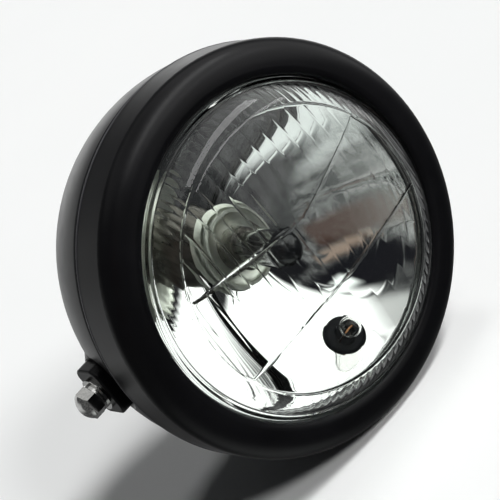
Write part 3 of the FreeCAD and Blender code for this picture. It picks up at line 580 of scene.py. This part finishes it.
def zone_column(x):
    """Points of the inner face at x, from the foot of the ring line to its top."""
    top = math.sqrt(max(0.0, RING_INNER**2 - x**2))
    gap = min(ZONE_MIN_GAP, top / 4)
    half = min(ZONE_LINE_HALF, gap / 3)
    high = clamp(along(UPPER_LINE, x), -top + 3 * gap, top - gap)
    low = clamp(along(LOWER_LINE, x), -top + gap, high - gap)
    edges = (-top, low - half, low + half, high - half, high + half, top)
    counts = (ZONE_STEPS, ZONE_LINE_STEPS, ZONE_STEPS, ZONE_LINE_STEPS, ZONE_STEPS)
    heights = []
    for start, end, count in zip(edges, edges[1:], counts):
        heights += [start + (end - start) * step / count for step in range(count)]
    column = []
    for z in heights + [top]:
        if z > high:
            rise = groove((x + UPPER_SHIFT) / FLUTE_PITCH, FLUTE_DEPTH, FLUTE_BEAD)
        elif z > low:
            rise = groove((x + MIDDLE_SHIFT) / FLUTE_PITCH, FLUTE_DEPTH, FLUTE_BEAD)
        else:
            rise = groove((x + LOWER_SHIFT) / LOWER_PITCH, LOWER_DEPTH)
        rise *= clamp((top - abs(z)) / FLUTE_FADE, 0.0, 1.0)
        if min(abs(z - low), abs(z - high)) < half / 2:
            rise += ZONE_LINE_RISE
        column.append((x, inner_face(math.hypot(x, z))[0] + rise, z))
    return column


def make_lens():
    columns = lens_columns()
    turn = 2 * len(columns) - 2
    points = [(0.0, DOME_Y - LENS_DOME_RADIUS, 0.0)]
    rings = []

    def add_ring(ring):
        rings.append(range(len(points), len(points) + turn))
        points.extend(ring)

    for radius, y in outside_rings():
        make_ring_points = disc_ring if radius < RING_INNER else border_ring
        add_ring(make_ring_points(columns, radius, y))
    for radius, ridge, fluted in border_rings():
        y, slope = inner_face(radius)
        add_ring(border_ring(columns, radius, y, slope, lambda x: ridge + fluted * border_groove(x)))
    faces = [(0, rings[0][(column + 1) % turn], rings[0][column]) for column in range(turn)]
    for first, second in zip(rings, rings[1:]):
        faces += joined(first, second)

    # the zones within the ring line, whose two outermost columns are single points
    zones = []
    for x in columns:
        outermost = x in (columns[0], columns[-1])
        column = [(x, inner_face(RING_INNER)[0], 0.0)] if outermost else zone_column(x)
        zones.append(range(len(points), len(points) + len(column)))
        points.extend(column)
    for left, right in zip(zones, zones[1:]):
        if len(left) == 1:
            faces += [(left[0], b, a) for a, b in zip(right, right[1:])]
        elif len(right) == 1:
            faces += [(right[0], a, b) for a, b in zip(left, left[1:])]
        else:
            faces += [(a, b, d, c) for a, b, c, d in zip(left, left[1:], right, right[1:])]
    ends = [zone[-1] for zone in zones] + [zone[0] for zone in reversed(zones[1:-1])]
    faces += joined(rings[-1], ends)
    piece = make_piece("lens_fluted", points, faces, "lens_glass", sharp=50)
    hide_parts("lens")


# Reflector: the mirror bowl, its turned-up edge, its neck and the parking lamp's bore
MIRROR_TURN = 360
MIRROR_STEPS = 90
MIRROR_BACK_STEPS = 60
BORE_REACH = 30.0
COLLAR_SIDES = 72
COLLAR_FRONT = -1.0
COLLAR_ROOT = 0.8
COLLAR_SETTLE_ROUNDS = 8
COLLAR_SETTLE_SHARE = 0.6


def parking_frame():
    """From the parking lamp's own frame, with its axis along y, to the lamp's."""
    turn = Matrix.Rotation(-PARKING_TURN, 4, "Y")
    place = Matrix.Translation((0, mirror_y(PARKING_RADIUS), -PARKING_RADIUS))
    return turn @ place @ Matrix.Rotation(-PARKING_TILT, 4, "X")


def mirror_y(radius, shift=0.0):
    return VERTEX_Y + shift - radius**2 / (4 * FOCAL_LENGTH)


def reflector_profile():
    """Radius and y round the sheet's section: the mirror, the edge, the mirror's back and the neck."""
    sheet = REFLECTOR_SHEET
    edge_inner = LENS_FLANGE_RADIUS + REFLECTOR_EDGE_GAP
    edge_outer = edge_inner + sheet
    flange_back = FLANGE_Y + sheet
    edge_top = flange_back - REFLECTOR_EDGE_HEIGHT
    back_radius = math.sqrt(LENS_INNER_RADIUS**2 + 4 * FOCAL_LENGTH * (REFLECTOR_BACK - sheet))
    neck_radius = BULB_HOLE_RADIUS + sheet
    neck_flange = BULB_HOLE_RADIUS + NECK_FLANGE
    mirror = []
    for step in range(MIRROR_STEPS + 1):
        radius = BULB_HOLE_RADIUS + (LENS_INNER_RADIUS - BULB_HOLE_RADIUS) * step / MIRROR_STEPS
        mirror.append((radius, mirror_y(radius)))
    edge = [
        (edge_inner - REFLECTOR_EDGE_ROUND, FLANGE_Y),
        (edge_inner, FLANGE_Y - REFLECTOR_EDGE_ROUND),
        (edge_inner, edge_top),
        (edge_outer, edge_top),
        (edge_outer, flange_back),
        (back_radius, flange_back),
    ]
    back = []
    for step in range(1, MIRROR_BACK_STEPS + 1):
        radius = back_radius + (neck_radius - back_radius) * step / MIRROR_BACK_STEPS
        back.append((radius, mirror_y(radius, REFLECTOR_BACK)))
    neck = [
        (neck_radius, BULB_Y - sheet),
        (neck_flange, BULB_Y - sheet),
        (neck_flange, BULB_Y),
        (BULB_HOLE_RADIUS, BULB_Y),
    ]
    return mirror, edge, back, neck


def open_bore(points, faces, mirror, back, place):
    """The faces left round the bore, with their ragged edge drawn out to its circle."""
    inverse = place.inverted()
    reach = {}
    for index in (*mirror, *back):
        local = inverse @ Vector(points[index])
        if local.y < BORE_REACH:
            reach[index] = math.hypot(local.x, local.z)
    kept = [face for face in faces if not all(reach.get(i, math.inf) < PARKING_BORE for i in face)]
    used = {i for face in kept for i in face}
    for index, distance in reach.items():
        if index in used and distance < PARKING_BORE:
            local = inverse @ Vector(points[index])
            pull = PARKING_BORE / max(distance, 1e-6)
            moved = place @ Vector((local.x * pull, local.y, local.z * pull))
            shift = 0.0 if index in mirror else REFLECTOR_BACK
            points[index] = (moved.x, mirror_y(math.hypot(moved.x, moved.z), shift), moved.z)
    return kept


def collar_rings(place):
    """The collar round the bore; its first and last rings settle on the two faces of the mirror's sheet."""
    outer = PARKING_BORE + REFLECTOR_SHEET
    rings = []
    for radius, y, shift in (
        (PARKING_BORE, COLLAR_FRONT, 0.0),
        (PARKING_BORE, PARKING_COLLAR, None),
        (outer, PARKING_COLLAR, None),
        (outer, COLLAR_ROOT, REFLECTOR_BACK),
    ):
        ring = []
        for side in range(COLLAR_SIDES):
            a = 2 * math.pi * side / COLLAR_SIDES
            local = Vector((radius * math.cos(a), y, radius * math.sin(a)))
            moved = place @ local
            for _ in range(0 if shift is None else COLLAR_SETTLE_ROUNDS):
                target = mirror_y(math.hypot(moved.x, moved.z), shift)
                local.y += (target - moved.y) * COLLAR_SETTLE_SHARE
                moved = place @ local
            ring.append(tuple(moved))
        rings.append(ring)
    return rings


def make_reflector():
    mirror, edge, back, neck = reflector_profile()
    profile = mirror + edge + back + neck
    points = revolve(profile, MIRROR_TURN)
    faces = tube_faces(0, len(profile), MIRROR_TURN, closed=True)
    back_start = len(mirror + edge) * MIRROR_TURN
    mirror_points = range(len(mirror) * MIRROR_TURN)
    back_points = range(back_start, back_start + len(back) * MIRROR_TURN)
    place = parking_frame()
    faces = open_bore(points, faces, mirror_points, back_points, place)
    rings = collar_rings(place)
    faces += tube_faces(len(points), len(rings), COLLAR_SIDES)
    for ring in rings:
        points += ring
    piece = make_piece("reflector_mirror", points, faces, "mirror_coat", sharp=40)
    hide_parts("reflector")


# Filaments: fine coils in place of the plain rods
COIL_TURNS = 11
COIL_STEPS = 18
COIL_SIDES = 6
COIL_WIRE = 0.16


def make_coil(name, node, front):
    start = BULB_Y - front + COIL_WIRE
    length = FILAMENT_LENGTH - 2 * COIL_WIRE
    radius = FILAMENT_RADIUS - COIL_WIRE
    count = COIL_TURNS * COIL_STEPS
    points = []
    for step in range(count + 1):
        a = 2 * math.pi * step / COIL_STEPS
        y = start + length * step / count
        for side in range(COIL_SIDES):
            b = 2 * math.pi * side / COIL_SIDES
            out = radius + COIL_WIRE * math.cos(b)
            points.append((out * math.cos(a), y + COIL_WIRE * math.sin(b), out * math.sin(a)))
    faces = tube_faces(0, count + 1, COIL_SIDES)
    faces.append(tuple(reversed(range(COIL_SIDES))))
    faces.append(tuple(range(count * COIL_SIDES, (count + 1) * COIL_SIDES)))
    piece = make_piece(name, points, faces, "tungsten", sharp=60)
    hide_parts(node)


# Seam: the rounding of the rim's rear edge in a paler paint that paints its highlight line, and a dark strip
# behind it that paints the shade in the seam
SEAM_TURN = 288
EDGE_BEAD = 0.7
EDGE_BEAD_SIDES = 8
EDGE_BEAD_SINK = 0.45
STRIP_WIDTH = 5.4
STRIP_STEPS = 3
STRIP_PROUD = 0.12
STRIP_SINK = 0.3


def make_ring(name, profile, slot, material=None):
    """A ring about the lamp's axis with a closed profile of radius and y."""
    points = revolve(profile, SEAM_TURN)
    faces = tube_faces(0, len(profile), SEAM_TURN, closed=True)
    make_piece(name, points, faces, slot, material, sharp=45)


def make_seam():
    bead = []
    for side in range(EDGE_BEAD_SIDES):
        a = 2 * math.pi * side / EDGE_BEAD_SIDES
        bead.append((RIM_RADIUS - EDGE_BEAD_SINK + EDGE_BEAD * math.cos(a), SEAM_Y + EDGE_BEAD * math.sin(a)))
    # the rear edge's bead, in the paler paint that paints a highlight line along it
    make_ring("rim_rear_edge", bead, "matte_black", LOOKS["worn_edge"])
    # a thin dark strip just proud of the bucket: painted shade in the seam behind the rim
    outer = []
    inner = []
    for step in range(STRIP_STEPS + 1):
        depth = STRIP_WIDTH * step / STRIP_STEPS
        bowl = math.sqrt(BUCKET_RADIUS**2 - depth**2)
        outer.append((bowl + STRIP_PROUD, SEAM_Y + depth))
        inner.append((bowl - STRIP_SINK, SEAM_Y + depth))
    make_ring("seam_painted_shade_strip", outer + inner[::-1], "black_rubber")


# Side bolts: the heads stand at the turn they were tightened to
BOLT_TURN = math.radians(34.5)


def make_bolt(node):
    """The bolt of a node, turned about the bolt line through the origin."""
    solid = NODES[node]
    mesh = solid.data.copy()
    mesh.transform(Matrix.Rotation(BOLT_TURN, 4, "X") @ solid.matrix_world)
    piece = bpy.data.objects.new(node + "_tight", mesh)
    bpy.context.scene.collection.objects.link(piece)
    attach(piece, "root")
    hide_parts(node)


make_bolt("mount_bolt_left")
make_bolt("mount_bolt_right")
make_seam()
make_lens()
make_reflector()
make_coil("high_beam_coil", "high_beam_filament", HIGH_BEAM_FRONT)
make_coil("low_beam_coil", "low_beam_filament", LOW_BEAM_FRONT)

# Stage, in metres: pale floor, soft light, a room that only reflections see, camera
FLOOR_GAP = 0.0002
FLOOR_Z = CAD_BOX[0][2] - FLOOR_GAP
FLOOR_HALF = 12.0
STRIP_LIGHT_DISTANCE = 1.0
STRIP_LIGHT_LENGTH = 1.1
SUN_ANGLE = math.radians(12.0)
CAMERA_PLACE = (-0.35112, -0.7779, 0.33303)
CAMERA_FORWARD = (0.3872, 0.8450, -0.3688)
CAMERA_UP = (0.6774, 0.0110, 0.7363)
CAMERA_LENS = 144.0
CAMERA_SENSOR = 36.0


def make_floor():
    mesh = bpy.data.meshes.new("floor")
    corners = ((-1, -1), (1, -1), (1, 1), (-1, 1))
    mesh.from_pydata([(x * FLOOR_HALF, y * FLOOR_HALF, FLOOR_Z) for x, y in corners], [], [(0, 1, 2, 3)])
    looks = Looks("floor_look")
    looks.colour(looks.noise(scale=1.5), (0.84, 0.85, 0.845), (0.86, 0.865, 0.86))
    looks.set(Roughness=0.9, Specular_IOR_Level=0.1)
    mesh.materials.append(looks.material)
    floor = bpy.data.objects.new("floor", mesh)
    bpy.context.scene.collection.objects.link(floor)
    floor.visible_glossy = False
    floor.visible_transmission = False


def direction(azimuth, elevation):
    """Out of the lamp's front at 0, 0; azimuth grows towards +x."""
    a = math.radians(azimuth)
    e = math.radians(elevation)
    return Vector((math.sin(a) * math.cos(e), -math.cos(a) * math.cos(e), math.sin(e)))


def make_light(name, kind, azimuth, elevation, power):
    """A light that shines on the lamp from a direction, and doesn't show through the glass."""
    light = bpy.data.lights.new(name, kind)
    light.energy = power
    lamp = bpy.data.objects.new(name, light)
    bpy.context.scene.collection.objects.link(lamp)
    lamp.rotation_euler = direction(azimuth, elevation).to_track_quat("Z", "Y").to_euler()
    lamp.visible_transmission = False
    return lamp


def make_strip_light(name, azimuth, elevation, height, power):
    """A long light that only glossy surfaces show, such as the sheen of the paint."""
    lamp = make_light(name, "AREA", azimuth, elevation, power)
    lamp.location = direction(azimuth, elevation) * STRIP_LIGHT_DISTANCE
    lamp.data.shape = "RECTANGLE"
    lamp.data.size = STRIP_LIGHT_LENGTH
    lamp.data.size_y = height
    lamp.visible_diffuse = False


def make_sun(name, azimuth, elevation, strength):
    """A soft light for the floor and its shadow, which no reflection shows."""
    lamp = make_light(name, "SUN", azimuth, elevation, strength)
    lamp.data.angle = SUN_ANGLE
    lamp.visible_glossy = False


# The room that the mirror and the paint show: walls, ceiling and a round patch of pale floor
WALL_LOW = (0.045, 0.046, 0.048)
WALL_HIGH = (0.22, 0.22, 0.22)
WALL_NOISE = 9.0
WALL_DETAIL = 2.0
CEILING_START = 0.79
CEILING_FULL = 0.85
CEILING_COLOUR = (0.80, 0.80, 0.79)
PALE_FLOOR_MIDDLE = (-55, -62)
PALE_FLOOR_FULL = math.radians(14)
PALE_FLOOR_END = math.radians(38)
PALE_FLOOR_COLOUR = (0.84, 0.87, 0.86)
FILL_COLOUR = (0.92, 0.96, 1.0)
FILL_STRENGTH = 0.03
WHITE = (1.0, 1.0, 1.0)
PATCH_FRONT = 0.05
BOUNCE_START = 0.4
BOUNCE_END = 0.6

# Patches laid over the room one after another, in degrees; wide and high are half sizes
ROOM = (
    # behind the lamp: a wall and two bright parts of it, which the bucket shows
    dict(azimuth=180, elevation=-6, wide=62, high=16, soft=8, colour=(0.80, 0.81, 0.81)),
    dict(azimuth=156, elevation=5, wide=21, high=8, soft=6, colour=(1.75, 1.76, 1.75)),
    dict(azimuth=190, elevation=12, wide=12, high=6, soft=6, colour=(1.15, 1.16, 1.15)),
    # in front: the dark below, a grey strip, a brown panel and a warm strip over it
    dict(azimuth=22, elevation=-36, wide=50, high=30, soft=7, colour=(0.028, 0.028, 0.030)),
    dict(azimuth=-60, elevation=-6, wide=9, high=3, soft=4, colour=(0.27, 0.26, 0.26)),
    dict(azimuth=-43, elevation=12, wide=18, high=9, soft=4, colour=(0.066, 0.034, 0.026)),
    dict(azimuth=-34, elevation=26, wide=13, high=3.5, soft=3, roll=6, colour=(0.36, 0.27, 0.22)),
    # in front: two black panels, a small window in the upper one, and the large soft window
    dict(azimuth=4, elevation=15, wide=13, high=14, soft=3, colour=(0.010, 0.010, 0.012)),
    dict(azimuth=-22, elevation=41.5, wide=28, high=9.5, soft=3, roll=13, colour=(0.010, 0.010, 0.013)),
    dict(azimuth=-14, elevation=43.5, wide=5.5, high=3.4, soft=2, roll=10, colour=(1.45, 1.50, 1.47)),
    dict(azimuth=57, elevation=33, wide=39, high=37, soft=3, colour=(1.60, 1.60, 1.59)),
)


class Room(Nodes):
    """Colours that depend on the direction looked in."""

    def __init__(self, tree):
        super().__init__(tree)
        self.towards = self.add("ShaderNodeTexCoord").outputs["Generated"]

    def combine(self, kind, *sources):
        node = self.add("ShaderNodeMath")
        node.operation = kind
        for socket, source in zip(node.inputs, sources):
            self.join(source, socket)
        return node.outputs["Value"]

    def reach(self, axis):
        """How far the direction goes along an axis."""
        node = self.add("ShaderNodeVectorMath")
        node.operation = "DOT_PRODUCT"
        node.inputs[1].default_value = axis
        self.join(self.towards, node.inputs[0])
        return node.outputs["Value"]

    def share(self, source, start, end, low=0.0, high=1.0):
        return self.spread(source, start, end, low, high, "SMOOTHSTEP")

    def lay(self, share, under, colour):
        """A colour laid over another where its share is high."""
        node = self.add("ShaderNodeMix")
        node.data_type = "RGBA"
        self.join(share, node.inputs[0])
        self.join(under, node.inputs[6])
        node.inputs[7].default_value = (*colour, 1.0)
        return node.outputs[2]

    def patch(self, under, azimuth, elevation, wide, high, soft, colour, roll=0):
        """A soft-edged rectangle of colour laid over what is under it."""
        ahead = direction(azimuth, elevation)
        side = direction(azimuth + 90, 0)
        up = side.cross(ahead)
        if up.z < 0:
            up = -up
        turn = Matrix.Rotation(math.radians(roll), 3, ahead)
        edges = []
        for axis, half in ((turn @ side, wide), (turn @ up, high)):
            near = math.sin(math.radians(max(half - soft, 0.0)))
            far = math.sin(math.radians(half + soft))
            edges.append(self.share(self.combine("ABSOLUTE", self.reach(axis)), near, far, 1.0, 0.0))
        front = self.share(self.reach(ahead), 0.0, PATCH_FRONT)
        return self.lay(self.combine("MULTIPLY", self.combine("MULTIPLY", *edges), front), under, colour)

    def light(self, colour, strength):
        return self.add("ShaderNodeBackground", Color=(*colour, 1.0), Strength=strength)


def make_world():
    """White to the camera, a room to reflections, and a little fill light to the rest."""
    world = bpy.data.worlds.new("studio")
    bpy.context.scene.world = world
    world.use_nodes = True
    world.node_tree.nodes.clear()
    room = Room(world.node_tree)
    seen = room.ramp(room.cloud(room.towards, WALL_NOISE, WALL_DETAIL), WALL_LOW, WALL_HIGH)
    ceiling = room.share(room.reach((0.0, 0.0, 1.0)), CEILING_START, CEILING_FULL)
    seen = room.lay(ceiling, seen, CEILING_COLOUR)
    pale_floor = room.share(
        room.reach(direction(*PALE_FLOOR_MIDDLE)),
        math.cos(PALE_FLOOR_END),
        math.cos(PALE_FLOOR_FULL),
    )
    seen = room.lay(pale_floor, seen, PALE_FLOOR_COLOUR)
    for patch in ROOM:
        seen = room.patch(seen, **patch)
    shown = room.light(WHITE, 1.0)
    room.join(seen, shown.inputs["Color"])
    fill = room.light(FILL_COLOUR, FILL_STRENGTH)
    white = room.light(WHITE, 1.0)

    # only rays that haven't met a dull surface see the room
    path = room.add("ShaderNodeLightPath")
    mirrored = room.combine("MAXIMUM", path.outputs["Is Glossy Ray"], path.outputs["Is Transmission Ray"])
    undimmed = room.share(path.outputs["Diffuse Depth"], BOUNCE_START, BOUNCE_END, 1.0, 0.0)
    mirrored = room.combine("MULTIPLY", mirrored, undimmed)
    lit = room.mix(mirrored, fill.outputs["Background"], shown.outputs["Background"])
    surface = room.mix(path.outputs["Is Camera Ray"], lit, white.outputs["Background"])
    room.join(surface, room.add("ShaderNodeOutputWorld").inputs["Surface"])


def make_camera():
    data = bpy.data.cameras.new("camera")
    data.lens = CAMERA_LENS
    data.sensor_width = CAMERA_SENSOR
    data.clip_start = 0.01
    camera = bpy.data.objects.new("camera", data)
    bpy.context.scene.collection.objects.link(camera)
    forward = Vector(CAMERA_FORWARD).normalized()
    right = forward.cross(Vector(CAMERA_UP)).normalized()
    up = right.cross(forward)
    turn = Matrix((right, up, -forward)).transposed().to_4x4()
    camera.matrix_world = Matrix.Translation(CAMERA_PLACE) @ turn
    bpy.context.scene.camera = camera


make_floor()
make_strip_light("upper_strip", azimuth=34.0, elevation=47.0, height=0.18, power=4.6)
make_strip_light("lower_strip", azimuth=34.0, elevation=27.0, height=0.06, power=1.4)
make_sun("low_key", azimuth=8.0, elevation=32.0, strength=1.55)
make_sun("front_key", azimuth=46.0, elevation=49.0, strength=1.90)
make_sun("upper_key", azimuth=22.0, elevation=52.0, strength=0.90)
make_sun("top_key", azimuth=105.0, elevation=68.0, strength=0.45)
make_world()
make_camera()
bpy.context.scene.view_settings.view_transform = "Standard"
